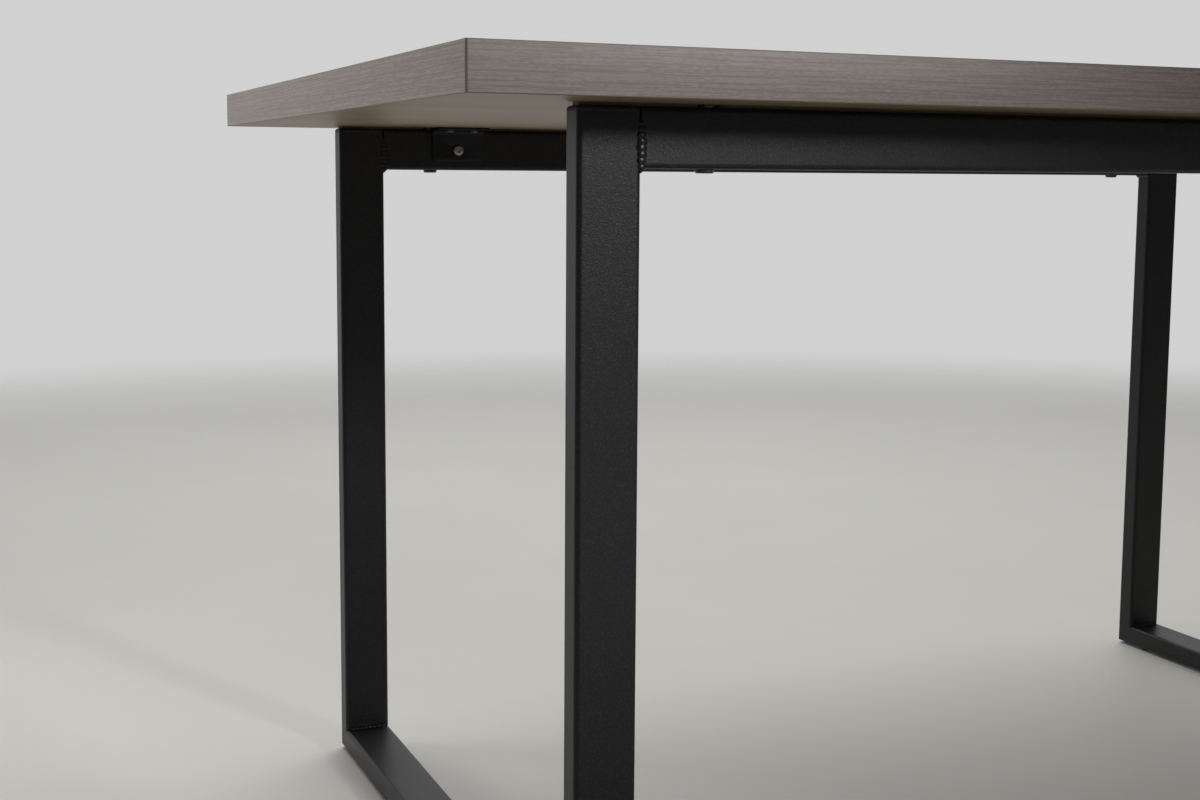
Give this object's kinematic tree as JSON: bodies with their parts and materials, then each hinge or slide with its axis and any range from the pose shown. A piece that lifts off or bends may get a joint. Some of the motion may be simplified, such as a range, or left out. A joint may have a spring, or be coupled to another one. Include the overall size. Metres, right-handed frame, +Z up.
{
  "type": "dining table",
  "caption": "Dining table with a rectangular wood-grain laminate top on U-shaped black steel tube end frames tied by long rails, standing on levelling feet.",
  "frame": {"origin": "on the floor, under the middle of the top", "axes": "+X along the table's length, +Y across it, +Z up"},
  "size_m": [1.4, 0.85, 0.75],
  "materials": {
    "laminate": "matt taupe wood-grain melamine",
    "core_board": "raw particle board",
    "powder_coat": "fine-textured charcoal powder coat",
    "bracket_steel": "black stoved paint",
    "black_plastic": "moulded black plastic",
    "black_bolt": "black oxide",
    "zinc": "bright zinc plate"
  },
  "bodies": {
    "table": {"top_laminate": "laminate", "underside_laminate": "laminate", "edge_band_front": "laminate", "edge_band_back": "laminate", "edge_band_left": "laminate", "edge_band_right": "laminate", "tabletop_core": "core_board", "post_back_right": "powder_coat", "post_back_left": "powder_coat", "post_front_right": "powder_coat", "post_front_left": "powder_coat", "floor_bar_left": "powder_coat", "floor_bar_right": "powder_coat", "rail_front": "powder_coat", "rail_back": "powder_coat", "rail_weld_back_right": "powder_coat", "rail_weld_back_left": "powder_coat", "rail_weld_front_right": "powder_coat", "rail_weld_front_left": "powder_coat", "foot_weld_back_right": "powder_coat", "foot_weld_back_left": "powder_coat", "foot_weld_front_right": "powder_coat", "foot_weld_front_left": "powder_coat", "bracket_back_right": "bracket_steel", "bracket_back_left": "bracket_steel", "bracket_front_right": "bracket_steel", "bracket_front_left": "bracket_steel", "post_cap_back_right": "black_plastic", "post_cap_back_left": "black_plastic", "post_cap_front_right": "black_plastic", "post_cap_front_left": "black_plastic", "top_bolts": "black_bolt", "spacer_washers": "zinc", "threaded_inserts": "zinc", "bracket_screws": "zinc", "rail_nuts": "zinc", "wood_screws": "zinc", "floor_bar_nuts": "zinc"},
    "foot_back_right": {"levelling_pad_back_right": "black_plastic", "levelling_stud_back_right": "zinc"},
    "foot_back_left": {"levelling_pad_back_left": "black_plastic", "levelling_stud_back_left": "zinc"},
    "foot_front_right": {"levelling_pad_front_right": "black_plastic", "levelling_stud_front_right": "zinc"},
    "foot_front_left": {"levelling_pad_front_left": "black_plastic", "levelling_stud_front_left": "zinc"}
  },
  "joints": [
    {"name": "foot_back_right_screw", "type": "slide", "parent": "table", "child": "foot_back_right", "axis": [0, 0, -1], "range_m": [0, 0.008]},
    {"name": "foot_back_left_screw", "type": "slide", "parent": "table", "child": "foot_back_left", "axis": [0, 0, -1], "range_m": [0, 0.008]},
    {"name": "foot_front_right_screw", "type": "slide", "parent": "table", "child": "foot_front_right", "axis": [0, 0, -1], "range_m": [0, 0.008]},
    {"name": "foot_front_left_screw", "type": "slide", "parent": "table", "child": "foot_front_left", "axis": [0, 0, -1], "range_m": [0, 0.008]}
  ]
}
